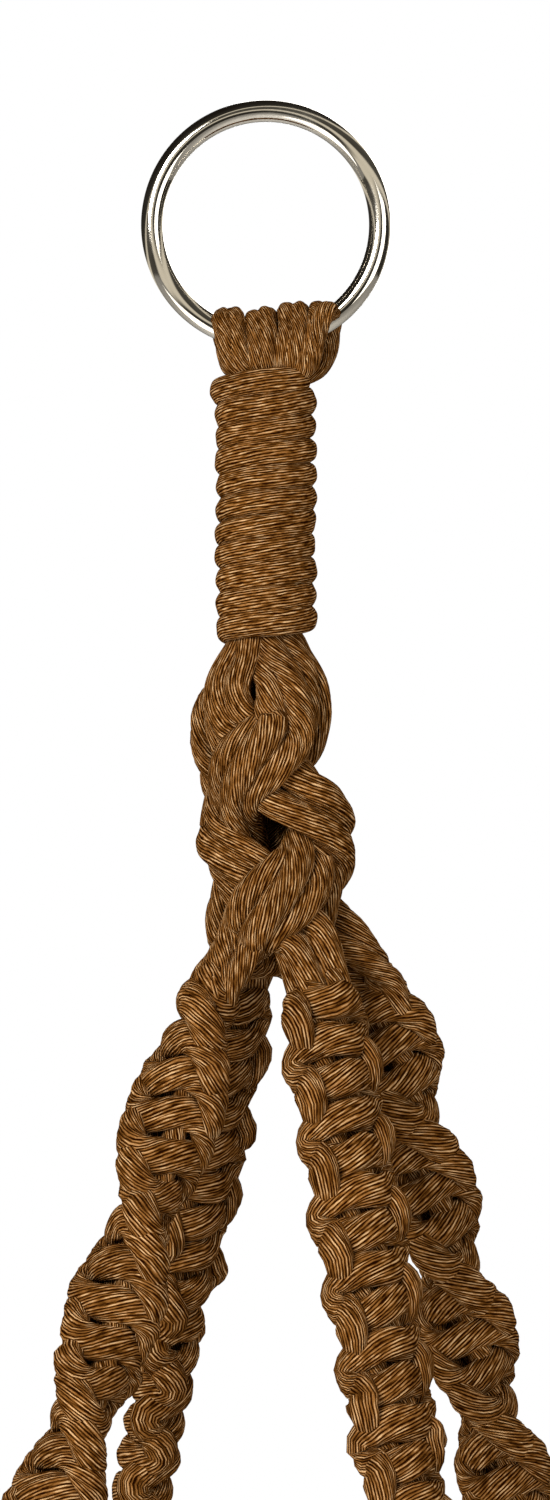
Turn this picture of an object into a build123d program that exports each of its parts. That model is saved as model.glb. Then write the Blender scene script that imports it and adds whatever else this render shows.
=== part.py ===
from build123d import *
from math import acos, asin, ceil, cos, degrees, dist, hypot, pi, radians, sin, sqrt, tan
import os

# Macrame plant hanger, millimetres, +Z up. The origin is the hanging point, which is the
# inside of the ring at its top. The ring lies in the XZ plane. Heights are negative below it.

# Hanging ring, of round wire with a butt seam
RING_BORE = 41.2
RING_WIRE = 4.4
SEAM_ANGLE = 26
SEAM_WIDTH = 0.3
SEAM_DEPTH = 0.2

# Cords
CORD = 4.4
PRESSED_CORD = 3.05
KNOT_PITCH = 7.8
FIT = 0.25
SOFT_GAP = 0.3

# Eight cords folded over the ring, side by side
FOLD_COUNT = 8
FOLD_PITCH = 3.25
FOLD_MIDDLE_X = 2.2

# Neck: sixteen packed strands under a wound cord
HEAD_TOP = -46.0
HEAD_WIDTH = 26.8
HEAD_THICK = 11.6
NECK_TOP = -49.4
CORE_WIDTH = 11.8
WRAP_CORD = 4.2
WRAP_PITCH = 4.77
WRAP_FIT = 0.1
NECK_TURNS = 10.75

# Crown: a round braid of four bundles, each of four strands
BUNDLE = 7.0
CROWN_TOP = -111.0
CROWN_BOTTOM = -160.0
BRAID_RADIUS = 7.35
BRAID_WAVE = 3.65
BRAID_STEPS = 12
BUNDLE_START_RADIUS = 5.2
CROWN_SHIFT = 4.0

# Arms: their bearing round the hanger, the reach of each at its top, and their knots
ARM_BEARINGS = {"left": 211, "front": 301, "right": 31, "rear": 121}
ARM_TOP_REACH = {"left": 17.0, "front": 13.0, "right": 21.0, "rear": 20.0}
ARM_HALF_TURNS = {"left": 7, "front": 0, "right": 9, "rear": 0}
ARM_TOP = -173.0
ARM_FOOT = -451.0
ARM_FOOT_REACH = 112.0
FOOT_SHIFT = 0.5
SINNET_WIDTH = 20.0
SINNET_THICK = 11.0
FILLER = 3.6
FILLER_SPACING = 3.8
FILLER_BORE = 7.7
KNOT_GAP = 0.8
KNOT_ROUND = 2.2
KNOT_EXTRA = 1.0
KNOT_LAP = 0.2
WAIST_WIDTH = 10.2

# Basket: four upper knots between the arms and four lower knots under them
UPPER_KNOT_TOP = -520.0
UPPER_KNOT_REACH = 101.0
UPPER_KNOT_LEAN = 8.0
UPPER_KNOT_COUNT = 3
LOWER_KNOT_TOP = -594.0
LOWER_KNOT_REACH = 68.0
LOWER_KNOT_LEAN = 35.0
LOWER_KNOT_COUNT = 2
LEAD = 11.0
STRAND_SPACING = 5.2
STRAND_LAYERS = 5.6

# Base: the strands gather in a second wrap over a packed core
GATHER_TOP = -648.0
GATHER_REACH = 9.4
GATHER_WIDTH = 29.0
BASE_TOP = -657.0
BASE_TURNS = 5.75

# Tassel: sixteen cut ends, as drops below the wrap and how far they spread by then
TASSEL_SPACING = 4.9
TASSEL_DROPS = (0, 32, 88, 152)
TASSEL_SPREAD = (1.0, 1.28, 1.5, 1.42)
TASSEL_ENDS = (150, 158, 144, 161)

COTTON = Color(0.45, 0.27, 0.12)
STEEL = Color(0.75, 0.73, 0.7)

os.makedirs("parts", exist_ok=True)

ring_radius = (RING_BORE + RING_WIRE) / 2
ring_middle = (0, 0, -RING_BORE / 2)
wrap_radius = CORE_WIDTH / 2 + WRAP_FIT + WRAP_CORD / 2
wrap_slope = WRAP_PITCH / (2 * pi * wrap_radius)


def save(part, name, colour=COTTON):
    """Label a finished sub-part and write it to its own file."""
    part.label = name
    part.color = colour
    export_step(part, f"parts/{name}.step")


def along(start, direction, distance):
    """The point at a distance from a start, in a direction."""
    return Vector(*start) + Vector(*direction).normalized() * distance


def smooth_arcs(points, directions):
    """Two tangent arcs from each point to the next, keeping the direction given at each."""
    for i in range(len(points) - 1):
        start, end = Vector(*points[i]), Vector(*points[i + 1])
        leaving, arriving = Vector(*directions[i]).normalized(), Vector(*directions[i + 1]).normalized()
        chord = end - start
        spread = 2 * (1 - leaving.dot(arriving))
        lean = chord.dot(leaving + arriving)
        if spread < 1e-9:
            reach = chord.length**2 / (2 * lean)
        else:
            reach = (sqrt(lean**2 + spread * chord.length**2) - lean) / spread
        first, last = start + leaving * reach, end - arriving * reach
        middle = (first + last) * 0.5
        if (middle - start).normalized().cross(leaving).length < 1e-6:
            Line(start, middle)
        else:
            TangentArc(start, middle, tangent=leaving)
        if (end - middle).normalized().cross(last - first).length < 1e-6 * (last - first).length:
            Line(middle, end)
        else:
            TangentArc(middle, end, tangent=last - first)


def least_self_gap(points, width):
    """The least gap between stretches of a wound tube that are over half a turn apart."""
    steps = [dist(a, b) for a, b in zip(points, points[1:])]
    apart = ceil(3 * width / (sum(steps) / len(steps)))
    gaps = [
        dist(points[i], points[j]) - width
        for i in range(0, len(points), 2)
        for j in range(i + apart, len(points))
    ]
    return min(gaps)


def bend_radii(points):
    """For each corner of a cord's route, the largest arc that its two runs allow."""
    radii = []
    for before, corner, after in zip(points, points[1:], points[2:]):
        first, second = Vector(*corner) - Vector(*before), Vector(*after) - Vector(*corner)
        turn = acos(first.normalized().dot(second.normalized()))
        radii.append(0.45 * min(first.length, second.length) / tan(turn / 2))
    return radii


def cord_tube(points, width):
    """A cord along straight runs joined by the largest tangent arcs."""
    with BuildPart() as tube:
        with BuildLine() as route:
            FilletPolyline(*points, radius=bend_radii(points))
        with BuildSketch(Plane(origin=route.line @ 0, z_dir=route.line % 0)):
            Circle(width / 2)
        sweep(path=route.line)
    return tube.part


def wrap_height(turns):
    """How far down a core a wrap of so many turns reaches, with the run of cord past its last turn."""
    return WRAP_CORD + WRAP_PITCH * turns + WRAP_CORD * wrap_slope


def wound_cord(top, turns):
    """A cord wound down round a core, as one tube with a short straight run at each end."""
    quarters = round(4 * turns)
    start_height = top - WRAP_CORD / 2
    points, directions = [], []
    for i in range(quarters + 1):
        x, y = cos(i * pi / 2), sin(i * pi / 2)
        points.append((wrap_radius * x, wrap_radius * y, start_height - WRAP_PITCH * i / 4))
        directions.append((-y, x, -wrap_slope))
    first_end = along(points[0], directions[0], -WRAP_CORD)
    last_end = along(points[-1], directions[-1], WRAP_CORD)
    with BuildPart() as tube:
        with BuildLine() as route:
            Line(first_end, points[0])
            smooth_arcs(points, directions)
            Line(points[-1], last_end)
        with BuildSketch(Plane(origin=first_end, z_dir=directions[0])):
            Circle(WRAP_CORD / 2)
        sweep(path=route.line)
    checked = [route.line @ (i / 1500) for i in range(1501)]
    gap = least_self_gap([tuple(p) for p in checked], WRAP_CORD)
    print(f"wound cord of {turns} turns: least gap to itself {gap:.2f} mm")
    return tube.part


def ring_section(angle):
    """The plane through the ring's middle that cuts the wire square, at an angle up from +X."""
    a = radians(angle)
    return Plane(origin=ring_middle, x_dir=(cos(a), 0, sin(a)), z_dir=(-sin(a), 0, cos(a)))


# The ring: the wire stops short at each side of the seam, and a thinner weld joins its ends
seam_degrees = degrees(SEAM_WIDTH / ring_radius)
ring_axis = Axis(ring_middle, (0, -1, 0))
with BuildPart() as hanging_ring:
    with BuildSketch(ring_section(SEAM_ANGLE)):
        with Locations((ring_radius, 0)):
            Circle(RING_WIRE / 2 - SEAM_DEPTH)
    revolve(axis=ring_axis, revolution_arc=seam_degrees)
    with BuildSketch(ring_section(SEAM_ANGLE + seam_degrees)):
        with Locations((ring_radius, 0)):
            Circle(RING_WIRE / 2)
    revolve(axis=ring_axis, revolution_arc=360 - seam_degrees)
save(hanging_ring.part, "hanging_ring", STEEL)

# The folded cords: each goes up in front of the ring's wire, over it and down behind
fold_side = RING_WIRE / 2 + PRESSED_CORD / 2 + FIT
for i in range(FOLD_COUNT):
    fold_x = FOLD_MIDDLE_X + (i - (FOLD_COUNT - 1) / 2) * FOLD_PITCH
    wire_slope = asin(fold_x / ring_radius)
    wire_height = ring_middle[2] - ring_radius * cos(wire_slope)
    arc_height = wire_height + fold_side / cos(wire_slope) - fold_side
    with BuildPart() as ring_fold:
        with BuildLine(Plane.YZ.offset(fold_x)) as fold_route:
            Line((-fold_side, HEAD_TOP), (-fold_side, arc_height))
            ThreePointArc((-fold_side, arc_height), (0, arc_height + fold_side), (fold_side, arc_height))
            Line((fold_side, arc_height), (fold_side, HEAD_TOP))
        with BuildSketch(Plane.XY.offset(HEAD_TOP)):
            with Locations((fold_x, -fold_side)):
                Circle(PRESSED_CORD / 2)
        sweep(path=fold_route.line)
    save(ring_fold.part, f"ring_loop_{i + 1}")

# The packed strands: a flat head under the folds that draws in to a round core
neck_bottom = NECK_TOP - wrap_height(NECK_TURNS)
with BuildPart() as neck_core:
    with BuildSketch(Plane.XY.offset(HEAD_TOP)):
        with Locations((FOLD_MIDDLE_X, 0)):
            SlotOverall(HEAD_WIDTH, HEAD_THICK)
    with BuildSketch(Plane.XY.offset(NECK_TOP)):
        SlotOverall(CORE_WIDTH + 0.4, CORE_WIDTH)
    loft()
    with BuildSketch(Plane.XY.offset(NECK_TOP)):
        Circle(CORE_WIDTH / 2)
    extrude(amount=neck_bottom - NECK_TOP)
save(neck_core.part, "neck_core")
save(wound_cord(NECK_TOP, NECK_TURNS), "neck_wrap")


def arm_point(arm, height):
    """The middle of an arm at a height, on a straight line from its top to its foot."""
    share = (ARM_TOP - height) / (ARM_TOP - ARM_FOOT)
    bearing = radians(ARM_BEARINGS[arm])
    reach = ARM_TOP_REACH[arm] + share * (ARM_FOOT_REACH - ARM_TOP_REACH[arm])
    shift = CROWN_SHIFT + share * (FOOT_SHIFT - CROWN_SHIFT)
    return Vector(shift + reach * cos(bearing), reach * sin(bearing), height)


def braid_point(share, start, way):
    """A point of a bundle's middle line, from the braid's top at 0 to its foot at 1."""
    turn = pi / 4 + share * 3 * pi / 2
    bearing = radians(start) + way * turn
    reach = BRAID_RADIUS + way * BRAID_WAVE * cos(2 * turn)
    return Vector(
        CROWN_SHIFT * share + reach * cos(bearing),
        reach * sin(bearing),
        CROWN_TOP + share * (CROWN_BOTTOM - CROWN_TOP),
    )


# The crown: two bundles wind one way and two the other, each over one and under the next.
# A bundle's turn runs from an eighth to seven eighths of the way round.
crossing = ARM_BEARINGS["right"] - 45
for arm, start, way in (
    ("front", crossing, 1),
    ("rear", crossing + 180, 1),
    ("right", crossing, -1),
    ("left", crossing + 180, -1),
):
    top_bearing = radians(start + way * 45)
    points = [
        Vector(
            BUNDLE_START_RADIUS * cos(top_bearing),
            BUNDLE_START_RADIUS * sin(top_bearing),
            neck_bottom - SOFT_GAP,
        )
    ]
    directions = [Vector(0, 0, -1)]
    for step in range(1, BRAID_STEPS):
        share = step / BRAID_STEPS
        points.append(braid_point(share, start, way))
        ahead, behind = braid_point(share + 0.01, start, way), braid_point(share - 0.01, start, way)
        directions.append(ahead - behind)
    arm_line = arm_point(arm, ARM_FOOT) - arm_point(arm, ARM_TOP)
    foot = along(arm_point(arm, ARM_TOP), arm_line, -SOFT_GAP)
    points.append(along(foot, arm_line, -BUNDLE))
    directions.append(arm_line)
    with BuildPart() as crown_bundle:
        with BuildLine() as bundle_route:
            smooth_arcs(points, directions)
            Line(points[-1], foot)
        with BuildSketch(Plane(origin=points[0], z_dir=(0, 0, -1))):
            Circle(BUNDLE / 2)
        sweep(path=bundle_route.line)
    save(crown_bundle.part, f"crown_bundle_{arm}")

# One half knot of an arm, open down the middle for the fillers, with the waist under it,
# and one of the basket's wider knots
knot_height = KNOT_PITCH - KNOT_GAP
with BuildPart() as half_knot:
    with BuildSketch():
        Ellipse(SINNET_WIDTH / 2, SINNET_THICK / 2)
    extrude(amount=knot_height)
    fillet(half_knot.edges(), KNOT_ROUND)
    with BuildSketch(Plane.XY.offset(knot_height / 2)):
        Circle(WAIST_WIDTH / 2)
    extrude(amount=knot_height / 2 + KNOT_GAP + KNOT_LAP)
    with BuildSketch():
        Circle(FILLER_BORE / 2)
    extrude(amount=knot_height + KNOT_GAP + KNOT_LAP, mode=Mode.SUBTRACT)
with BuildPart() as wide_knot:
    with BuildSketch():
        Ellipse(SINNET_WIDTH / 2 + KNOT_EXTRA, (SINNET_THICK + KNOT_EXTRA) / 2)
    extrude(amount=knot_height)
    fillet(wide_knot.edges(), KNOT_ROUND)

# The arms: filler strands down the middle, and a chain of half knots round them
for arm, bearing in ARM_BEARINGS.items():
    top, foot = arm_point(arm, ARM_TOP), arm_point(arm, ARM_FOOT)
    arm_length = (foot - top).length
    knots = round(arm_length / KNOT_PITCH)
    pitch = arm_length / knots
    tangent = Vector(-sin(radians(bearing)), cos(radians(bearing)), 0)
    top_plane = Plane(origin=top, x_dir=tangent, z_dir=foot - top)
    twist = 180 * ARM_HALF_TURNS[arm] / (knots - 1)
    turns = [Rotation(0, 0, i * twist) for i in range(knots)]
    places = [top_plane.offset(i * pitch).location * turns[i] for i in range(knots)]
    with BuildPart() as arm_knots:
        with Locations(*places):
            add(half_knot.part)
        split(bisect_by=top_plane.offset(arm_length - KNOT_GAP), keep=Keep.BOTTOM)
    save(arm_knots.part, f"{arm}_arm_knots")
    with BuildPart() as arm_fillers:
        with BuildSketch(top_plane):
            with Locations((-FILLER_SPACING / 2, 0), (FILLER_SPACING / 2, 0)):
                Circle(FILLER / 2)
        extrude(amount=arm_length - KNOT_GAP)
    save(arm_fillers.part, f"{arm}_arm_fillers")


def knot_plane(bearing, reach, height, lean, middle=FOOT_SHIFT):
    """The top of a basket knot: X goes round the basket, Z goes down the knot and inwards."""
    b = radians(bearing)
    inwards = sin(radians(lean))
    return Plane(
        origin=(middle + reach * cos(b), reach * sin(b), height),
        x_dir=(-sin(b), cos(b), 0),
        z_dir=(-inwards * cos(b), -inwards * sin(b), -cos(radians(lean))),
    )


def basket_knot(plane, count):
    """A short chain of half knots that joins four strands."""
    with BuildPart() as knot:
        with Locations(*[plane.offset(i * KNOT_PITCH).location for i in range(count)]):
            add(wide_knot.part)
        with BuildSketch(plane):
            Circle(WAIST_WIDTH / 2)
        extrude(amount=count * KNOT_PITCH - KNOT_GAP)
    return knot.part


def strand_place(plane, slot, gap):
    """Where one of four strands meets a knot's face: slots 0 and 1 lie on one side, 2 and 3 on
    the other, one in front of the other, a gap off the face along the knot."""
    side, layer = slot // 2 - 0.5, slot % 2 - 0.5
    return plane.from_local_coords(Vector(side * STRAND_SPACING, layer * STRAND_LAYERS, gap))


def strand_between(upper, upper_slot, upper_end, lower, lower_slot):
    """A strand from the foot of one knot to the top of another, with a short lead at each."""
    points = [
        strand_place(upper, upper_slot, upper_end + SOFT_GAP),
        strand_place(upper, upper_slot, upper_end + SOFT_GAP + LEAD),
        strand_place(lower, lower_slot, -SOFT_GAP - LEAD),
        strand_place(lower, lower_slot, -SOFT_GAP),
    ]
    shown_radii.extend(bend_radii(points))
    return cord_tube(points, CORD)


# The basket: every knot gives two strands to the next knot on each side
shown_radii = []
arm_names = list(ARM_BEARINGS)
upper_knots = [
    knot_plane(bearing + 45, UPPER_KNOT_REACH, UPPER_KNOT_TOP, UPPER_KNOT_LEAN)
    for bearing in ARM_BEARINGS.values()
]
lower_knots = [
    knot_plane(bearing, LOWER_KNOT_REACH, LOWER_KNOT_TOP, LOWER_KNOT_LEAN)
    for bearing in ARM_BEARINGS.values()
]
gather_planes = [
    knot_plane(bearing, GATHER_REACH, GATHER_TOP, 0, middle=0) for bearing in ARM_BEARINGS.values()
]
upper_length = UPPER_KNOT_COUNT * KNOT_PITCH - KNOT_GAP
lower_length = LOWER_KNOT_COUNT * KNOT_PITCH - KNOT_GAP
for i, arm in enumerate(arm_names):
    bearing = ARM_BEARINGS[arm]
    top, foot = arm_point(arm, ARM_TOP), arm_point(arm, ARM_FOOT)
    tangent = (-sin(radians(bearing)), cos(radians(bearing)), 0)
    foot_plane = Plane(origin=foot, x_dir=tangent, z_dir=foot - top)
    before, after = upper_knots[i - 1], upper_knots[i]
    with BuildPart() as arm_strands:
        for slot in (0, 1):
            add(strand_between(foot_plane, slot, -KNOT_GAP, before, slot + 2))
            add(strand_between(foot_plane, slot + 2, -KNOT_GAP, after, slot))
    save(arm_strands.part, f"{arm}_arm_strands")
    save(basket_knot(upper_knots[i], UPPER_KNOT_COUNT), f"upper_knot_{i + 1}")

    here, there = lower_knots[i], lower_knots[(i + 1) % len(lower_knots)]
    with BuildPart() as basket_strands:
        for slot in (0, 1):
            add(strand_between(upper_knots[i], slot, upper_length, here, slot + 2))
            add(strand_between(upper_knots[i], slot + 2, upper_length, there, slot))
    save(basket_strands.part, f"basket_strands_{i + 1}")
    save(basket_knot(lower_knots[i], LOWER_KNOT_COUNT), f"lower_knot_{i + 1}")

    with BuildPart() as base_strands:
        for slot in range(4):
            add(strand_between(lower_knots[i], slot, lower_length, gather_planes[i], slot))
    save(base_strands.part, f"base_strands_{i + 1}")
print(f"basket strands: tightest bend {min(shown_radii):.1f} mm, widest {max(shown_radii):.1f} mm")

# The base: a wide head that takes all the strands and draws in to a round core, then its wrap
base_height = wrap_height(BASE_TURNS)
with BuildPart() as base_core:
    with BuildSketch(Plane.XY.offset(GATHER_TOP)):
        Circle(GATHER_WIDTH / 2)
    with BuildSketch(Plane.XY.offset(BASE_TOP)):
        Circle(CORE_WIDTH / 2)
    loft()
    with BuildSketch(Plane.XY.offset(BASE_TOP)):
        Circle(CORE_WIDTH / 2)
    extrude(amount=-base_height)
save(base_core.part, "base_core")
save(wound_cord(BASE_TOP, BASE_TURNS), "base_wrap")

# The tassel: four groups of four strands that hang from the core and spread a little
tassel_top = BASE_TOP - base_height - SOFT_GAP
tassel_radii = []
for group in range(4):
    with BuildPart() as tassel_strands:
        for corner in range(4):
            side_x = (group % 2 * 2 + corner % 2) - 1.5
            side_y = (group // 2 * 2 + corner // 2) - 1.5
            drops = TASSEL_DROPS[:-1] + (TASSEL_ENDS[(group + corner) % 4],)
            points = [
                Vector(
                    side_x * TASSEL_SPACING * spread,
                    side_y * TASSEL_SPACING * spread,
                    tassel_top - drop,
                )
                for drop, spread in zip(drops, TASSEL_SPREAD)
            ]
            tassel_radii.extend(bend_radii(points))
            add(cord_tube(points, CORD))
    save(tassel_strands.part, f"tassel_{group + 1}")
print(f"tassel strands: tightest bend {min(tassel_radii):.0f} mm")
print(f"tassel from {tassel_top:.1f} to {tassel_top - max(TASSEL_ENDS):.1f} mm")
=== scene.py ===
import math

import bmesh
import bpy
import numpy as np
from mathutils import Matrix, Vector


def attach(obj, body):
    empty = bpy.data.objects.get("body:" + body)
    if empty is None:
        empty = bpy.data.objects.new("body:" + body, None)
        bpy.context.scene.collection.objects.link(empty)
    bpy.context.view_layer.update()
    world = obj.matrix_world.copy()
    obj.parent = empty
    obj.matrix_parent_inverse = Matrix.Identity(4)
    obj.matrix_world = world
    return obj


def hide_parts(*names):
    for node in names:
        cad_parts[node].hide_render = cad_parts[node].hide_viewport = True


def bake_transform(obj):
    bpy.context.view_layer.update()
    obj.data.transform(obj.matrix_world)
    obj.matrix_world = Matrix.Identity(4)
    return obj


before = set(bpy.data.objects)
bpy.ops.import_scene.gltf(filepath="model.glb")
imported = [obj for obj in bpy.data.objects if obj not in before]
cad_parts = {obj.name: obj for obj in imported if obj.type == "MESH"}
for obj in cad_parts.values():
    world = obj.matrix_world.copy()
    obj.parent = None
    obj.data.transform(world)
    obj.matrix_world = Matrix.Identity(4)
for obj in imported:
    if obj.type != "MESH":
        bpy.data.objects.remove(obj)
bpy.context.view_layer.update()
mm = 0.001
bpy.ops.object.select_all(action="DESELECT")


# The hanging ring is bright nickel-plated steel wire, bent round and butt welded, so a fine
# groove shows where its ends meet.
ring_bend = 22.8 * mm
ring_wire = 2.2 * mm
ring_height = -20.6 * mm
ring_middle = Vector((0, 0, ring_height))
seam_angle = math.radians(26)
seam_depth = 0.4 * mm
bend_steps = 400

bpy.ops.mesh.primitive_torus_add(
    major_segments=bend_steps, minor_segments=40, major_radius=ring_bend, minor_radius=ring_wire
)
ring = bpy.context.object
ring.name = "welded_ring"
bm = bmesh.new()
bm.from_mesh(ring.data)
groove = round(seam_angle / (2 * math.pi / bend_steps)) * 2 * math.pi / bend_steps
for v in bm.verts:
    a = math.atan2(v.co.y, v.co.x)
    if abs(a - groove) < math.pi / bend_steps:
        middle = Vector((math.cos(a), math.sin(a), 0)) * ring_bend
        v.co = middle + (v.co - middle) * (1 - seam_depth / ring_wire)
bm.to_mesh(ring.data)
bm.free()
stand_up = Matrix.Rotation(math.pi / 2, 4, "X")
ring.data.transform(Matrix.Translation(ring_middle) @ stand_up)
bpy.ops.object.shade_smooth()

nickel = bpy.data.materials.new("bright_nickel")
nickel.use_nodes = True
nodes, links = nickel.node_tree.nodes, nickel.node_tree.links
shader = nodes["Principled BSDF"]
shader.inputs["Metallic"].default_value = 1
place = nodes.new("ShaderNodeTexCoord")
smudges = nodes.new("ShaderNodeTexNoise")
smudges.inputs["Scale"].default_value = 160
smudges.inputs["Detail"].default_value = 5
polish = nodes.new("ShaderNodeValToRGB")
polish.color_ramp.elements[0].position = 0.35
polish.color_ramp.elements[0].color = (0.045, 0.045, 0.045, 1)
polish.color_ramp.elements[1].position = 0.7
polish.color_ramp.elements[1].color = (0.16, 0.16, 0.16, 1)
plate = nodes.new("ShaderNodeValToRGB")
plate.color_ramp.elements[0].color = (0.52, 0.47, 0.38, 1)
plate.color_ramp.elements[1].color = (0.74, 0.69, 0.6, 1)
links.new(place.outputs["Object"], smudges.inputs["Vector"])
links.new(smudges.outputs["Fac"], polish.inputs["Fac"])
links.new(smudges.outputs["Fac"], plate.inputs["Fac"])
links.new(polish.outputs["Color"], shader.inputs["Roughness"])
links.new(plate.outputs["Color"], shader.inputs["Base Color"])
ring.data.materials.append(nickel)
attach(ring, "ring")
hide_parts("hanging_ring")


# The cotton cord is soft and loosely spun: about thirty fine yarns lie side by side round it
# on a slant. Each cord is a tube with a shallow lobed section, and its yarns run along it.
yarns_round = 30
fibres_along = 6.5
lay_slant = 24


def smooth_route(points, step):
    """A smooth curve through the points, as evenly spaced points a step apart."""
    p = np.array(points, float)
    gaps = np.linalg.norm(np.diff(p, axis=0), axis=1) ** 0.7
    t = np.concatenate([[0], np.cumsum(gaps)])
    slope = np.gradient(p, t, axis=0)
    found = []
    for i in range(len(p) - 1):
        u = np.linspace(0, 1, 24, endpoint=False)[:, None]
        span = t[i + 1] - t[i]
        found.append(
            (2 * u**3 - 3 * u**2 + 1) * p[i]
            + (u**3 - 2 * u**2 + u) * span * slope[i]
            + (3 * u**2 - 2 * u**3) * p[i + 1]
            + (u**3 - u**2) * span * slope[i + 1]
        )
    return even_steps(np.concatenate(found + [p[-1:]]), step)


def even_steps(line, step):
    """The same line as points a step apart."""
    line = np.asarray(line, float)
    run = np.concatenate([[0], np.cumsum(np.linalg.norm(np.diff(line, axis=0), axis=1))])
    count = max(4, int(round(run[-1] / step)) + 1)
    where = np.linspace(0, run[-1], count)
    return np.stack([np.interp(where, run, line[:, k]) for k in range(3)], axis=1)


def wander(count, step, seed, size, wave):
    """Small slow random numbers along a cord, in three directions."""
    draw = np.random.default_rng(seed)
    along = np.arange(count) * step
    total = np.zeros((count, 3))
    for k in range(4):
        length = wave * draw.uniform(0.7, 1.6) / (1 + 0.5 * k)
        phase = draw.uniform(0, 2 * math.pi, 3)
        total += np.sin(2 * math.pi * along[:, None] / length + phase) / (1 + 0.6 * k)
    return total * size / 2.2


def spun_cord(
    line, width, thick, outward, sides, seed, lobes=4, lobe=0.05, blunt=False, slant=lay_slant
):
    """The vertices, faces and UVs of one cord along a line. It is width across and thick in the
    direction called outward, which is one vector for each point or None."""
    line = np.asarray(line, float)
    n = len(line)
    ahead = np.gradient(line, axis=0)
    ahead /= np.linalg.norm(ahead, axis=1)[:, None]
    if outward is None:
        outward = np.zeros((n, 3))
        last = np.cross(ahead[0], [0.3, 0.9, 0.2])
        for i in range(n):
            last = last - ahead[i] * last.dot(ahead[i])
            last /= np.linalg.norm(last)
            outward[i] = last
    else:
        outward = outward - ahead * (outward * ahead).sum(1)[:, None]
        outward /= np.linalg.norm(outward, axis=1)[:, None]
    across = np.cross(ahead, outward)
    run = np.concatenate([[0], np.cumsum(np.linalg.norm(np.diff(line, axis=0), axis=1))])
    draw = np.random.default_rng(seed)
    middle_radius = (width + thick) / 4
    turn = run * math.tan(math.radians(slant)) / middle_radius + draw.uniform(0, 2 * math.pi)
    round_cord = np.arange(sides) * 2 * math.pi / sides
    angle = turn[:, None] + round_cord[None, :]
    section = 1 + lobe * np.cos(lobes * round_cord + draw.uniform(0, 6))
    section += 0.6 * lobe * np.cos((lobes + 3) * round_cord + draw.uniform(0, 6))
    swell = 1 + 0.035 * np.sin(run / (3.1 * width) + draw.uniform(0, 6))
    swell = swell + 0.02 * np.sin(run / (1.2 * width))
    cap = np.minimum(run, run[-1] - run) / (middle_radius * (0.35 if blunt else 1.0))
    close = np.sqrt(1 - (1 - np.clip(cap, 0.02, 1)) ** 2)
    size = section[None, :] * (swell * close)[:, None]
    verts = (
        line[:, None, :]
        + across[:, None, :] * (np.cos(angle) * size * width / 2)[:, :, None]
        + outward[:, None, :] * (np.sin(angle) * size * thick / 2)[:, :, None]
    ).reshape(-1, 3)
    i, j = np.meshgrid(np.arange(n - 1), np.arange(sides), indexing="ij")
    k = (j + 1) % sides
    below, above = i * sides, (i + 1) * sides
    quads = np.stack([below + j, below + k, above + k, above + j], axis=-1).reshape(-1, 4)
    u0, u1 = j / sides, (j + 1) / sides
    girth = 2 * math.pi * middle_radius
    v0, v1 = run[i] / girth, run[i + 1] / girth
    corners = [np.stack(corner, -1) for corner in ((u0, v0), (u1, v0), (u1, v1), (u0, v1))]
    uvs = np.stack(corners, axis=2).reshape(-1, 4, 2)
    ends = [np.arange(sides)[::-1], np.arange(sides) + (n - 1) * sides]
    return verts, quads, uvs, ends, draw.uniform(0, 40)


def cord_piece(name, cords, material):
    """One object from several cords, each with its own UVs shifted so that no two look alike."""
    me = bpy.data.meshes.new(name)
    verts, loops, starts, totals, uvs, shift = [], [], [], [], [], 0
    at = 0
    for v, quads, uv, ends, offset in cords:
        verts.append(v)
        loops.append((quads + shift).ravel())
        starts.append(at + 4 * np.arange(len(quads)))
        totals.append(np.full(len(quads), 4))
        at += 4 * len(quads)
        uvs.append((uv + [0, offset]).reshape(-1, 2))
        for end in ends:
            loops.append(end + shift)
            starts.append(np.array([at]))
            totals.append(np.array([len(end)]))
            at += len(end)
            angle = np.arange(len(end)) * 2 * math.pi / len(end)
            uvs.append(np.stack([0.5 + 0.3 * np.cos(angle), offset + 0.3 * np.sin(angle)], axis=1))
        shift += len(v)
    verts, loops, starts = np.concatenate(verts), np.concatenate(loops), np.concatenate(starts)
    me.vertices.add(len(verts))
    me.vertices.foreach_set("co", verts.ravel())
    me.loops.add(len(loops))
    me.loops.foreach_set("vertex_index", loops.astype(np.int32))
    me.polygons.add(len(starts))
    me.polygons.foreach_set("loop_start", starts.astype(np.int32))
    me.polygons.foreach_set("loop_total", np.concatenate(totals).astype(np.int32))
    me.polygons.foreach_set("use_smooth", np.ones(len(starts), bool))
    layer = me.uv_layers.new(name="UVMap")
    layer.data.foreach_set("uv", np.concatenate(uvs).ravel())
    me.update(calc_edges=True)
    me.validate()
    me.materials.append(material)
    piece = bpy.data.objects.new(name, me)
    bpy.context.scene.collection.objects.link(piece)
    return piece


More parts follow.
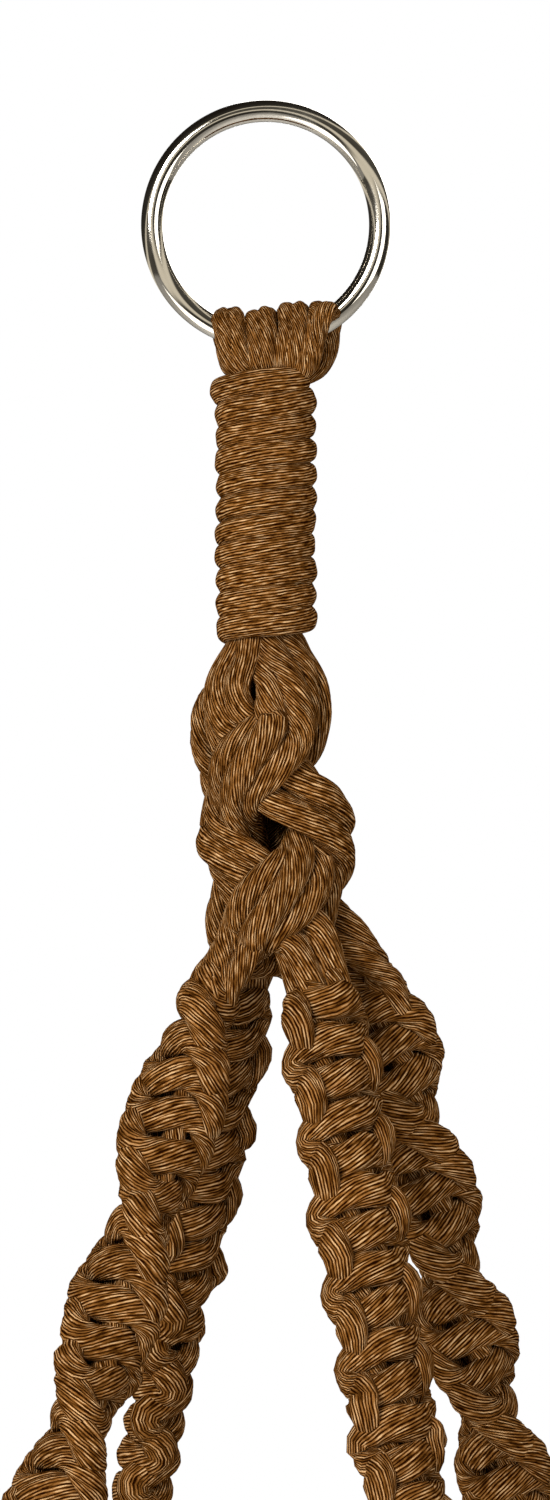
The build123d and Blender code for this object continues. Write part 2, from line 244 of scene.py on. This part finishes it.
def cotton_material(name, shade):
    """Warm brown spun cotton. Its yarns are lines of the UV map. The colour follows the yarn
    height: painted shade in the grooves between yarns, painted highlights on the ridges, and fibre
    noise that varies the tone at random.
    """
    material = bpy.data.materials.new(name)
    material.use_nodes = True
    nodes, links = material.node_tree.nodes, material.node_tree.links
    shader = nodes["Principled BSDF"]
    shader.inputs["Roughness"].default_value = 0.95
    shader.inputs["Specular IOR Level"].default_value = 0

    def add(kind, **settings):
        node = nodes.new(kind)
        for key, value in settings.items():
            setattr(node, key, value)
        return node

    def maths(operation, a, b):
        node = add("ShaderNodeMath", operation=operation)
        for socket, value in zip(node.inputs, (a, b)):
            if isinstance(value, (int, float)):
                socket.default_value = value
            else:
                links.new(value, socket)
        return node.outputs[0]

    def noise(vector, scale, detail, rough=0.5):
        node = add("ShaderNodeTexNoise")
        node.inputs["Scale"].default_value = scale
        node.inputs["Detail"].default_value = detail
        node.inputs["Roughness"].default_value = rough
        links.new(vector, node.inputs["Vector"])
        return node.outputs["Fac"]

    def ramp(factor, *stops):
        node = add("ShaderNodeValToRGB")
        node.color_ramp.elements[0].position, node.color_ramp.elements[0].color = stops[0]
        node.color_ramp.elements[1].position, node.color_ramp.elements[1].color = stops[-1]
        for position, colour in stops[1:-1]:
            node.color_ramp.elements.new(position).color = colour
        links.new(factor, node.inputs["Fac"])
        return node.outputs["Color"]

    def grey(value):
        return (value, value, value, 1)

    uv = add("ShaderNodeUVMap", uv_map="UVMap").outputs["UV"]
    place = add("ShaderNodeTexCoord").outputs["Object"]
    parts = add("ShaderNodeSeparateXYZ")
    links.new(uv, parts.inputs[0])
    stretched = add("ShaderNodeCombineXYZ")
    round_cord = maths("MULTIPLY", parts.outputs["X"], yarns_round)
    links.new(round_cord, stretched.inputs["X"])
    links.new(maths("MULTIPLY", parts.outputs["Y"], fibres_along), stretched.inputs["Y"])
    loose = noise(stretched.outputs[0], 0.4, 3)
    wave_at = maths("ADD", round_cord, maths("MULTIPLY", loose, 1.6))
    wave = maths("SINE", maths("MULTIPLY", wave_at, 2 * math.pi), 0)
    yarn = maths("ADD", maths("MULTIPLY", wave, 0.5), 0.5)
    fibre = noise(stretched.outputs[0], 1.3, 5, 0.75)
    strong = ramp(noise(stretched.outputs[0], 0.9, 1), (0.3, grey(0.25)), (0.68, grey(1)))
    depth = maths("MULTIPLY", maths("MULTIPLY", yarn, strong), 0.65)
    height = maths("ADD", maths("MULTIPLY", depth, 0.8), maths("MULTIPLY", fibre, 0.72))
    # The colour ramp paints light into the cotton: the darkest stop is painted shade in the yarn
    # grooves, the light and pale stops are painted highlights on the yarn ridges, and middle is the
    # cotton's own brown. Fibre noise in the height breaks this up at random.
    groove_shade = tuple(c * shade for c in (0.012, 0.0025, 0.0002)) + (1,)
    middle = tuple(c * shade for c in (0.110, 0.040, 0.006)) + (1,)
    light = tuple(c * shade for c in (0.28, 0.122, 0.032)) + (1,)
    pale = tuple(c * shade for c in (0.66, 0.42, 0.21)) + (1,)
    colour = ramp(height, (0.38, groove_shade), (0.5, middle), (0.66, light), (0.85, pale))
    patch = ramp(noise(place, 90, 3), (0.3, (0.84, 0.82, 0.8, 1)), (0.7, (1.1, 1.08, 1.04, 1)))
    mixed = add("ShaderNodeMix", data_type="RGBA", blend_type="MULTIPLY")
    mixed.inputs["Factor"].default_value = 1
    links.new(colour, mixed.inputs["A"])
    links.new(patch, mixed.inputs["B"])
    links.new(mixed.outputs["Result"], shader.inputs["Base Color"])
    bump = add("ShaderNodeBump")
    bump.inputs["Strength"].default_value = 0.9
    bump.inputs["Distance"].default_value = 0.45 * mm
    links.new(height, bump.inputs["Height"])
    links.new(bump.outputs["Normal"], shader.inputs["Normal"])
    return material


cotton = cotton_material("warm_brown_cotton", 0.94)


# The folds: eight cords are doubled over the ring side by side, in pairs that press into one
# lump. Each goes up in front of the wire, over it and down behind, into the neck.
fold_count = 8
fold_middle, fold_pitch = 2.2, 3.25
fold_width, fold_thick = 4.4 * mm, 3.8 * mm
fold_rise = 3.9
fold_step = 0.8 * mm
fold_lift = (-1.2, -0.3, 0.1, 0.7, 1.3, 0.8, -0.6, -1.9)
fold_lean = (0.5, -0.5, 0.5, -0.5, 0.5, -0.5, 0.2, -0.9)


def beside_ring(across, forward, height):
    """A point given across the ring, in front of it and up, in millimetres."""
    return Vector((across, -forward, height)) * mm


cords = []
for i in range(fold_count):
    across = fold_middle + (i - 3.5) * fold_pitch + fold_lean[i]
    wire = (ring_height - math.sqrt(ring_bend**2 - (across * mm) ** 2)) / mm
    over = wire + fold_rise + fold_lift[i]
    last = i == fold_count - 1
    narrow = across * 0.82 - 0.4 + (-0.8 if last else 0)
    back = across * 0.84 + (0.9 if last else 0)
    route = [
        beside_ring(narrow * 0.33, 2.2, -57),
        beside_ring(narrow * 0.5, 3.4, -51.8),
        beside_ring(narrow * 0.9, 5.9, -48.7),
        beside_ring(across * 0.94 - (1.3 if last else 0), 6.0, wire - 1.0),
        beside_ring(across - (0.5 if last else 0), 4.6, wire + 1.4),
        beside_ring(across, 2.5, over - 0.7),
        beside_ring(across, 0, over),
        beside_ring(across, -2.5, over - 0.7),
        beside_ring(across + (0.4 if last else 0), -4.6, wire + 1.4),
        beside_ring(across * 0.97 + (0.8 if last else 0), -6.0, wire - 1.0),
        beside_ring(back * 0.92, -5.9, -48.7),
        beside_ring(back * 0.5, -3.4, -51.8),
        beside_ring(back * 0.33, -2.2, -57),
    ]
    line = smooth_route(route, fold_step)
    line += wander(len(line), fold_step, 10 + i, 0.12 * mm, 14 * mm)
    centre = np.array(beside_ring(across, 0, wire))
    out = line - centre
    out[:, 0] = 0
    cords.append(spun_cord(line, fold_width, fold_thick, out, 40, 20 + i))
folds = cord_piece("ring_folds", cords, cotton)
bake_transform(folds)
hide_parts(*[f"ring_loop_{i + 1}" for i in range(fold_count)])


# The neck: sixteen strands run straight down inside, and one cord is wound tight round them,
# from under the folds to the crown. Each turn lies against the next and presses flat on it.
wrap_radius = 8.1 * mm
wrap_pitch = 4.77 * mm
wrap_width, wrap_thick = 5.6 * mm, 4.2 * mm
wrap_slant = 5
tucked_in = 4.6 * mm
pack_counts = (5, 11)
pack_radii = (1.6, 4.3)
packed_size = 2.9 * mm


def packed_strands(name, top, foot):
    """Sixteen strands packed side by side down the inside of a wrap."""
    cords = []
    inner_count, outer_count = pack_counts
    for k in range(inner_count + outer_count):
        inner = k < inner_count
        angle = 2 * math.pi * (k / inner_count if inner else (k - inner_count) / outer_count)
        reach = pack_radii[0 if inner else 1] * mm
        x, y = reach * math.cos(angle), reach * math.sin(angle)
        line = np.linspace((x, y, top), (x, y, foot), 30)
        cords.append(spun_cord(line, packed_size, packed_size, None, 12, 60 + k, blunt=True))
    return cord_piece(name, cords, cotton)


def wound_cord(name, top, turns, seed, first_bulge):
    """A cord wound round its strands, tucked in at both ends."""
    step = 1.0 * mm
    count = int(turns * 2 * math.pi * wrap_radius / step)
    share = np.linspace(0, 1, count)
    turn = share * turns * 2 * math.pi
    uneven = wander(count, step, seed, 1.0, 60 * mm)
    wobble = wander(count, step, seed + 1, 1.0, 23 * mm)
    tuck = np.clip(np.minimum(turn, turn[-1] - turn) / 0.7, 0, 1) ** 0.5
    reach = wrap_radius + uneven[:, 0] * 0.22 * mm + wobble[:, 1] * 0.16 * mm
    reach = reach + first_bulge * mm * np.exp(-(((turn - math.pi) / 0.55) ** 2))
    reach = tucked_in + (reach - tucked_in) * tuck
    height = top - wrap_thick / 2 - wrap_pitch * turn / (2 * math.pi)
    height = height + uneven[:, 2] * 0.3 * mm + wobble[:, 0] * 0.12 * mm
    line = np.stack([reach * np.cos(turn), -reach * np.sin(turn), height], axis=1)
    out = np.stack([np.cos(turn), -np.sin(turn), 0 * turn], axis=1)
    cord = spun_cord(line, wrap_width, wrap_thick, out, 44, seed, 3, 0.04, slant=wrap_slant)
    return cord_piece(name, [cord], cotton)


neck_strands = packed_strands("neck_strands", -0.0500, -0.1060)
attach(neck_strands, "neck")
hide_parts("neck_core")
neck_wrap = wound_cord("neck_wrap_cord", -0.0492, 10.75, 81, 1.3)
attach(neck_wrap, "neck")
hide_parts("neck_wrap")


# The crown: the strands leave the neck as four bundles of four, and the bundles are braided round
# an empty middle. Two wind one way and two the other, each over one and under the next.
arm_bearings = {"left": 211, "front": 301, "right": 31, "rear": 121}
arm_top_reach = {"left": 17.0, "front": 13.0, "right": 21.0, "rear": 20.0}
arm_top, arm_foot, foot_reach = -173.0, -451.0, 112.0
crown_shift, foot_shift = 4.0, 0.5
braid_top, braid_foot = -120.0, -164.0
braid_radius, braid_wave = 9.3, 2.6
behind_lean, behind_lift, behind_spread = 6.0, -13.0, 0.6
bundle_lay = {1: 230.0, -1: 74.0}
bundle_slant = {1: 8, -1: 32}
bundle_cord_width, bundle_cord_thick = 6.4 * mm, 4.7 * mm
bundle_step = 1.0 * mm
strand_reach, bundle_flat = 4.5, 0.48


def arm_point(arm, height):
    """The middle of an arm at a height, in millimetres, on a straight line from top to foot."""
    share = (arm_top - height) / (arm_top - arm_foot)
    bearing = math.radians(arm_bearings[arm])
    reach = arm_top_reach[arm] + share * (foot_reach - arm_top_reach[arm])
    shift = crown_shift + share * (foot_shift - crown_shift)
    return np.array([shift + reach * math.cos(bearing), reach * math.sin(bearing), height])


def bundle_middle(arm, start, way):
    """The middle line of a bundle, from inside the neck to the top of its arm. Behind, it lies
    lower and further left."""
    bearing = math.radians(start + way * 45)
    points = [
        np.array([reach * math.cos(bearing), reach * math.sin(bearing), height])
        for reach, height in ((3.2, -101.5), (5.6, -107), (8.6, -114))
    ]
    for step in range(1, 24):
        share = step / 24
        turn = math.pi / 4 + share * 1.5 * math.pi
        angle = math.radians(start) + way * turn
        reach = braid_radius + way * braid_wave * math.cos(2 * turn)
        behind = max(0.0, math.sin(angle)) ** 2
        lean = behind_lean * behind * math.cos(1.5 * math.pi * (share - 1 / 6)) ** 2
        lift = behind_lift * behind * math.sin(math.pi * share)
        x = crown_shift * share + reach * math.cos(angle) - lean
        height = braid_top + share * (braid_foot - braid_top) + lift
        points.append(np.array([x, reach * math.sin(angle), height]))
    points.append(arm_point(arm, arm_top))
    points.append(arm_point(arm, arm_top - 7))
    return np.array(points)


crossing = arm_bearings["right"] - 45
for n, (arm, start, way) in enumerate(
    (
        ("front", crossing, 1),
        ("rear", crossing + 180, 1),
        ("right", crossing, -1),
        ("left", crossing + 180, -1),
    )
):
    middle = smooth_route(bundle_middle(arm, start, way) * mm, bundle_step)
    count = len(middle)
    share = np.linspace(0, 1, count)
    ahead = np.gradient(middle, axis=0)
    ahead /= np.linalg.norm(ahead, axis=1)[:, None]
    spread = 1 + behind_spread * np.clip(middle[:, 1] / (braid_radius * mm), 0, 1)
    part_way = np.clip((braid_top - middle[:, 2] / mm) / (braid_top - braid_foot), 0, 1)
    shift = crown_shift * mm * part_way
    out = np.stack([middle[:, 0] - shift, middle[:, 1], 0 * middle[:, 2]], axis=1)
    out -= ahead * (out * ahead).sum(1)[:, None]
    out /= np.linalg.norm(out, axis=1)[:, None]
    side = np.cross(ahead, out)
    cords = []
    roll = 2 * math.pi * np.arange(count) / bundle_lay[way]
    gather = 0.42 + 0.58 * np.clip(share / 0.16, 0, 1) ** 0.8
    gather = gather - 0.15 * np.clip((share - 0.85) / 0.15, 0, 1)
    for k in range(4):
        angle = roll + math.pi / 2 * k + n
        sx = -strand_reach * np.sin(angle)
        sy = strand_reach * bundle_flat * np.cos(angle)
        line = middle + side * (sx * gather * spread * mm)[:, None]
        line = line + out * (sy * gather * mm)[:, None]
        line += wander(count, bundle_step, 100 + 10 * n + k, 0.35 * mm, 26 * mm)
        seed = 140 + 10 * n + k
        sizes = (bundle_cord_width, bundle_cord_thick)
        cords.append(spun_cord(line, *sizes, out, 36, seed, slant=bundle_slant[way]))
    bundle = cord_piece(f"{arm}_crown_strands", cords, cotton)
    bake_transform(bundle)
    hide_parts(f"crown_bundle_{arm}")


# The arms: two knotting cords are tied round two straight fillers, one half knot under the other.
# On the left and right arms the half knots all have one hand, so the arm turns as it goes down.
# On the front and rear arms the hands alternate, which makes flat square knots, and the rear arm
# also lies turned for part of its way.
half_turns = {"left": 7, "front": 0, "right": 9, "rear": 0}
start_turns = {"left": -80, "front": 0, "right": -29, "rear": 0}
knot_pitch = 7.8
knot_half_width = 7.3
bar_depth = 4.0
edge_depth = 2.1
knot_lift = 2.5
knotting_width, knotting_thick = 7.1 * mm, 4.9 * mm
filler_size, filler_places, filler_step = 5.2 * mm, (-2.3, 2.3), 1.5
rear_turn = math.radians(59)
turned_from, turned_to = 45, 240


def half_knots(count, pitch, twist, flat, seed, start=0, slow_turn=0):
    """The two knotting cords of a chain of half knots, as points across, outward and down it."""
    found = [[], []]
    s = np.linspace(-0.5, 0.5, 25)[:-1]
    draw = np.random.default_rng(seed)
    for level in range(count):
        if level == count - 1:
            s = np.linspace(-0.5, 0.5, 25)
        hand = -1 if flat and level % 2 else 1
        wide = knot_half_width + draw.uniform(-0.6, 0.7)
        lift = knot_lift * (0.55 if flat and level % 2 else 1.0) + draw.uniform(-0.5, 0.5)
        down = pitch * (level + 0.5 + s) - lift * np.sin(2 * math.pi * s)
        if flat:
            x = hand * wide * np.sin(math.pi * s)
            y = (bar_depth - edge_depth) / 2
            y = y + (bar_depth + edge_depth) / 2 * np.cos(2 * math.pi * s)
        else:
            x = wide * np.sin(math.pi * s)
            y = bar_depth * np.cos(math.pi * s) - edge_depth * np.sin(math.pi * s)
        if level == 0:
            open_out = np.clip(0.25 + 0.75 * (s + 0.5) / 0.55, 0, 1)
            x, y = x * open_out, y * open_out
            down = down - 5 * np.clip(-s, 0, 1) * 2
        angle = -twist * (level + 0.5 + s) - start
        rise = np.clip((down - turned_from) / 45, 0, 1) * np.clip((turned_to - down) / 70, 0, 1)
        angle = angle - slow_turn * rise * rise * (3 - 2 * rise)
        for cord in (0, 1):
            sign = 1 if (cord == 0) == (flat or level % 2 == 0) else -1
            px, py = sign * x, sign * y
            turned_x = px * np.cos(angle) - py * np.sin(angle)
            turned_y = px * np.sin(angle) + py * np.cos(angle)
            found[cord].append(np.stack([turned_x, turned_y, down], axis=1))
    return [np.concatenate(part) for part in found]


def along_arm(points, origin, across, outward, down):
    """Points given across, outward and down a chain of knots, at their place in metres."""
    return (origin + points[:, :1] * across + points[:, 1:2] * outward + points[:, 2:3] * down) * mm


def knotted_cords(
    origin, down, bearing, count, pitch, twist, flat, seed, step, sides, start=0, slow_turn=0
):
    """The knotting cords round one chain, each pressed wide against what it lies on."""
    across = np.array([-math.sin(bearing), math.cos(bearing), 0])
    outward = np.cross(down, across)
    made = []
    for k, points in enumerate(half_knots(count, pitch, twist, flat, seed, start, slow_turn)):
        line = even_steps(along_arm(points, origin, across, outward, down), step * mm)
        line += wander(len(line), step * mm, seed + 3 + k, 0.3 * mm, 30 * mm)
        local = line / mm - origin
        out = local - np.outer(local @ down, down)
        made.append(spun_cord(line, knotting_width, knotting_thick, out, sides, seed + 5 + k))
    return made


def straight_cords(origin, down, bearing, length, seed, sides):
    """The two fillers down the middle of a chain."""
    across = np.array([-math.sin(bearing), math.cos(bearing), 0])
    outward = np.cross(down, across)
    made = []
    for k, x in enumerate(filler_places):
        points = np.linspace((x, 0, 0), (x, 0, length), int(length / filler_step))
        line = along_arm(points, origin, across, outward, down)
        line += wander(len(line), filler_step * mm, seed + k, 0.3 * mm, 30 * mm)
        made.append(spun_cord(line, filler_size, filler_size, None, sides, seed + 7 + k))
    return made


for n, (arm, degrees) in enumerate(arm_bearings.items()):
    bearing = math.radians(degrees)
    top, foot = arm_point(arm, arm_top), arm_point(arm, arm_foot)
    length = np.linalg.norm(foot - top)
    down = (foot - top) / length
    knots = round(length / knot_pitch)
    pitch = length / knots
    twist = math.pi * half_turns[arm] / (knots - 1)
    seed = 300 + 40 * n
    start = math.radians(start_turns[arm])
    slow_turn = rear_turn if arm == "rear" else 0
    flat = half_turns[arm] == 0
    made = knotted_cords(
        top, down, bearing, knots, pitch, twist, flat, seed, 1.25, 30, start, slow_turn
    )
    for k, cord in enumerate(made):
        piece = cord_piece(f"{arm}_knotting_cord_{k + 1}", [cord], cotton)
        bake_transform(piece)
        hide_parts(f"{arm}_arm_knots")
    made = straight_cords(top, down, bearing, length, seed + 20, 20)
    fillers = cord_piece(f"{arm}_filler_cords", made, cotton)
    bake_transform(fillers)
    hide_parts(f"{arm}_arm_fillers")


# The basket: at the foot of each arm its four cords part, and each pair is tied to the next arm's
# pair in a short flat chain. The pairs part and are tied again lower down, nearer the middle.
upper_knot_top, upper_knot_reach, upper_knot_lean, upper_knot_count = -520.0, 101.0, 8.0, 3
lower_knot_top, lower_knot_reach, lower_knot_lean, lower_knot_count = -594.0, 68.0, 35.0, 2
gather_top, gather_reach = -648.0, 9.4
lead, strand_spacing, strand_layers = 11.0, 5.2, 5.6
knot_gap, soft_gap = 0.8, 0.3
basket_cord_size, basket_step = 4.9 * mm, 1.5 * mm


def knot_frame(degrees, reach, height, lean, shift=foot_shift):
    """Where a basket knot starts, and its directions across, outward and down."""
    b = math.radians(degrees)
    inwards = math.sin(math.radians(lean))
    origin = np.array([shift + reach * math.cos(b), reach * math.sin(b), height])
    across = np.array([-math.sin(b), math.cos(b), 0])
    fall = math.cos(math.radians(lean))
    down = np.array([-inwards * math.cos(b), -inwards * math.sin(b), -fall])
    down /= np.linalg.norm(down)
    return origin, across, np.cross(down, across), down


def strand_place(at, slot, down):
    """Where one of four strands lies beside a knot's middle, a way down from its top."""
    origin, across, outward, downward = at
    side, layer = slot // 2 - 0.5, slot % 2 - 0.5
    place = origin + across * side * strand_spacing + outward * layer * strand_layers
    return place + downward * down


def strand_between(upper, upper_slot, upper_end, lower, lower_slot, seed, onward=()):
    """A strand from the foot of one knot to the top of another. Its ends are inside both."""
    points = [
        strand_place(upper, upper_slot, upper_end - 7),
        strand_place(upper, upper_slot, upper_end + soft_gap),
        strand_place(upper, upper_slot, upper_end + soft_gap + lead * 0.8),
        strand_place(lower, lower_slot, -soft_gap - lead * 0.8),
        strand_place(lower, lower_slot, -soft_gap),
    ]
    points += onward or [strand_place(lower, lower_slot, 7)]
    line = smooth_route(np.array(points) * mm, basket_step)
    line += wander(len(line), basket_step, seed, 0.35 * mm, 30 * mm)
    return spun_cord(line, basket_cord_size, basket_cord_size, None, 26, seed)


upper_knots, lower_knots, gathers = [], [], []
for degrees in arm_bearings.values():
    upper_knots.append(knot_frame(degrees + 45, upper_knot_reach, upper_knot_top, upper_knot_lean))
    lower_knots.append(knot_frame(degrees, lower_knot_reach, lower_knot_top, lower_knot_lean))
    gathers.append(knot_frame(degrees, gather_reach, gather_top, 0, 0))
upper_length = upper_knot_count * knot_pitch - knot_gap
lower_length = lower_knot_count * knot_pitch - knot_gap
for i, (arm, degrees) in enumerate(arm_bearings.items()):
    top, foot = arm_point(arm, arm_top), arm_point(arm, arm_foot)
    down = (foot - top) / np.linalg.norm(foot - top)
    b = math.radians(degrees)
    across = np.array([-math.sin(b), math.cos(b), 0])
    foot_frame = (foot, across, np.cross(down, across), down)
    before, after = upper_knots[i - 1], upper_knots[i]
    here, there = lower_knots[i], lower_knots[(i + 1) % 4]
    seed = 500 + 60 * i
    cords = []
    for slot in (0, 1):
        cords.append(strand_between(foot_frame, slot, -knot_gap, before, slot + 2, seed + slot))
        cords.append(strand_between(foot_frame, slot + 2, -knot_gap, after, slot, seed + slot + 2))
    piece = cord_piece(f"{arm}_arm_parting_strands", cords, cotton)
    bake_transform(piece)
    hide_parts(f"{arm}_arm_strands")
    cords = []
    for slot in (0, 1):
        cords.append(strand_between(after, slot, upper_length, here, slot + 2, seed + slot + 4))
        cords.append(strand_between(after, slot + 2, upper_length, there, slot, seed + slot + 6))
    piece = cord_piece(f"basket_strand_group_{i + 1}", cords, cotton)
    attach(piece, "net")
    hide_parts(f"basket_strands_{i + 1}")
    cords = []
    for slot in range(4):
        side, layer = slot // 2 - 0.5, slot % 2 - 0.5
        middle, across, outward, _ = gathers[i]
        onward = [
            middle * [0.62, 0.62, 1] + across * side * 4.0 + outward * layer * 3.6 + [0, 0, -8.0],
            middle * [0.35, 0.35, 1] + across * side * 3.0 + outward * layer * 2.4 + [0, 0, -17.0],
        ]
        ends = (here, slot, lower_length, gathers[i], slot)
        cords.append(strand_between(*ends, seed + slot + 10, onward))
    piece = cord_piece(f"base_strand_group_{i + 1}", cords, cotton)
    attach(piece, "net")
    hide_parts(f"base_strands_{i + 1}")
    kinds = (("upper", after, upper_knot_count), ("lower", here, lower_knot_count))
    for kind, (origin, across, _, down), count in kinds:
        bearing = math.atan2(-across[0], across[1])
        chain_seed = seed + 20 + len(kind) * count
        made = knotted_cords(origin, down, bearing, count, knot_pitch, 0, True, chain_seed, 1.4, 28)
        length = count * knot_pitch + 3
        made += straight_cords(origin - down * 2, down, bearing, length, seed + 40 + count, 20)
        piece = cord_piece(f"{kind}_knot_cords_{i + 1}", made, cotton)
        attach(piece, "net")
        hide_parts(f"{kind}_knot_{i + 1}")


# The base: all sixteen strands draw together, and a second cord is wound round them as at the neck.
base_strands = packed_strands("base_inner_strands", -0.6560, -0.6890)
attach(base_strands, "net")
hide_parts("base_core")
base_wrap = wound_cord("base_wrap_cord", -0.6570, 5.75, 91, 0.6)
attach(base_wrap, "net")
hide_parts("base_wrap")


# The tassel: the sixteen cut ends hang below the base wrap, spread a little and end blunt, not
# quite level. Each strand is a free cord that leaves the base.
tassel_spacing = 4.9
tassel_drops = (0, 32, 88)
tassel_spread = (1.0, 1.28, 1.5, 1.42)
tassel_ends = (150, 158, 144, 161)
tassel_top = -689.3
tassel_size, tassel_step = 4.7 * mm, 1.6 * mm


def nurbs_line(points):
    """Points read from the smooth NURBS curve that has these points as its control points."""
    curve = bpy.data.curves.new("route", "CURVE")
    curve.dimensions = "3D"
    curve.resolution_u = 24
    spline = curve.splines.new("NURBS")
    spline.points.add(len(points) - 1)
    for point, at in zip(spline.points, points):
        point.co = (*at, 1)
    spline.order_u = 3
    spline.use_endpoint_u = True
    holder = bpy.data.objects.new("route", curve)
    bpy.context.scene.collection.objects.link(holder)
    bpy.context.view_layer.update()
    read = bpy.data.meshes.new_from_object(holder)
    line = np.array([v.co for v in read.vertices])
    bpy.data.objects.remove(holder)
    bpy.data.meshes.remove(read)
    return line


for group in range(4):
    for corner in range(4):
        side_x = (group % 2 * 2 + corner % 2) - 1.5
        side_y = (group // 2 * 2 + corner // 2) - 1.5
        drops = tassel_drops + (tassel_ends[(group + corner) % 4],)
        draw = np.random.default_rng(900 + 4 * group + corner)
        stray = [(0, 0), (0, 0), draw.uniform(-1.4, 1.4, 2), draw.uniform(-2.6, 2.6, 2)]
        points = [
            (
                (side_x * tassel_spacing * spread + float(aside[0])) * mm,
                (side_y * tassel_spacing * spread + float(aside[1])) * mm,
                (tassel_top - drop) * mm,
            )
            for drop, spread, aside in zip(drops, tassel_spread, stray)
        ]
        line = nurbs_line(points)
        length = float(np.linalg.norm(np.diff(line, axis=0), axis=1).sum())
        line = even_steps(line, tassel_step)
        seed = 700 + 4 * group + corner
        made = spun_cord(line, tassel_size, tassel_size, None, 24, seed, lobe=0.06, blunt=True)
        piece = cord_piece(f"tassel_strand_{4 * group + corner + 1}", [made], cotton)
        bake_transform(piece)
        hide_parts(f"tassel_{group + 1}")


# The plain pale floor under it, soft light from all sides, and the camera level in front. Only
# polished surfaces see the bright bands.
bpy.ops.mesh.primitive_plane_add(size=6, location=(0, 0, -1.15))
floor = bpy.context.object
floor.name = "floor"
paint = bpy.data.materials.new("pale_floor")
paint.use_nodes = True
paint.node_tree.nodes["Principled BSDF"].inputs["Base Color"].default_value = (0.82, 0.82, 0.82, 1)
paint.node_tree.nodes["Principled BSDF"].inputs["Roughness"].default_value = 0.9
floor.data.materials.append(paint)

world = bpy.data.worlds.new("studio")
bpy.context.scene.world = world
world.use_nodes = True
nodes, links = world.node_tree.nodes, world.node_tree.links
soft = nodes["Background"]
soft.inputs["Color"].default_value = (1, 0.985, 0.96, 1)
soft.inputs["Strength"].default_value = 0.38
white = nodes.new("ShaderNodeBackground")
white.inputs["Color"].default_value = (1, 1, 1, 1)
white.inputs["Strength"].default_value = 1.0
path_kind = nodes.new("ShaderNodeLightPath")
room_place = nodes.new("ShaderNodeTexCoord")
room_parts = nodes.new("ShaderNodeSeparateXYZ")
room_bands = nodes.new("ShaderNodeMapping")
room_bands.inputs["Rotation"].default_value = (0.35, 0.5, 0.3)
room_tone = nodes.new("ShaderNodeValToRGB")
room_stops = (
    (0.34, 0.04), (0.38, 0.9), (0.43, 0.9), (0.46, 0.07),
    (0.64, 0.1), (0.67, 0.95), (0.7, 0.8), (0.73, 0.04),
)
room_tone.color_ramp.elements[0].color = (0.02, 0.015, 0.01, 1)
room_tone.color_ramp.elements[1].color = (0.015, 0.012, 0.01, 1)
for position, level in room_stops:
    room_tone.color_ramp.elements.new(position).color = (level, level * 0.95, level * 0.84, 1)
half = nodes.new("ShaderNodeMath")
half.operation = "MULTIPLY_ADD"
half.inputs[1].default_value = 0.5
half.inputs[2].default_value = 0.5
room = nodes.new("ShaderNodeBackground")
links.new(room_place.outputs["Generated"], room_bands.inputs["Vector"])
links.new(room_bands.outputs["Vector"], room_parts.inputs[0])
links.new(room_parts.outputs["Z"], half.inputs[0])
links.new(half.outputs[0], room_tone.inputs["Fac"])
links.new(room_tone.outputs["Color"], room.inputs["Color"])
polished = nodes.new("ShaderNodeMixShader")
links.new(path_kind.outputs["Is Glossy Ray"], polished.inputs["Fac"])
links.new(soft.outputs[0], polished.inputs[1])
links.new(room.outputs[0], polished.inputs[2])
choose = nodes.new("ShaderNodeMixShader")
links.new(path_kind.outputs["Is Camera Ray"], choose.inputs["Fac"])
links.new(polished.outputs[0], choose.inputs[1])
links.new(white.outputs[0], choose.inputs[2])
links.new(choose.outputs[0], nodes["World Output"].inputs["Surface"])

for name, spot, size, power in (
    ("key_light", (-0.55, -1.1, 0.35), 0.5, 19),
    ("fill_light", (0.9, -0.9, -0.1), 0.8, 7),
    ("back_light", (0.3, 1.2, 0.3), 0.8, 9),
    ("low_light", (-0.6, -0.7, -0.9), 0.8, 6),
):
    lamp = bpy.data.lights.new(name, "AREA")
    lamp.size = size
    lamp.energy = power
    holder = bpy.data.objects.new(name, lamp)
    holder.location = spot
    aim = Vector((0, 0, -0.3 if name == "low_light" else -0.15)) - Vector(spot)
    holder.rotation_euler = aim.to_track_quat("-Z", "Y").to_euler()
    bpy.context.scene.collection.objects.link(holder)

view_height = 300 * mm
view_middle = Vector((1.8 * mm, 0, -125.6 * mm))
view_distance = 1.3
camera_data = bpy.data.cameras.new("camera")
camera_data.sensor_fit = "VERTICAL"
camera_data.angle = 2 * math.atan(view_height / 2 / view_distance)
camera_data.clip_start = 0.01
camera = bpy.data.objects.new("camera", camera_data)
camera.location = view_middle + Vector((0, -view_distance, 0))
camera.rotation_euler = (math.pi / 2, 0, 0)
bpy.context.scene.collection.objects.link(camera)
bpy.context.scene.camera = camera

bpy.context.scene.view_settings.view_transform = "Standard"
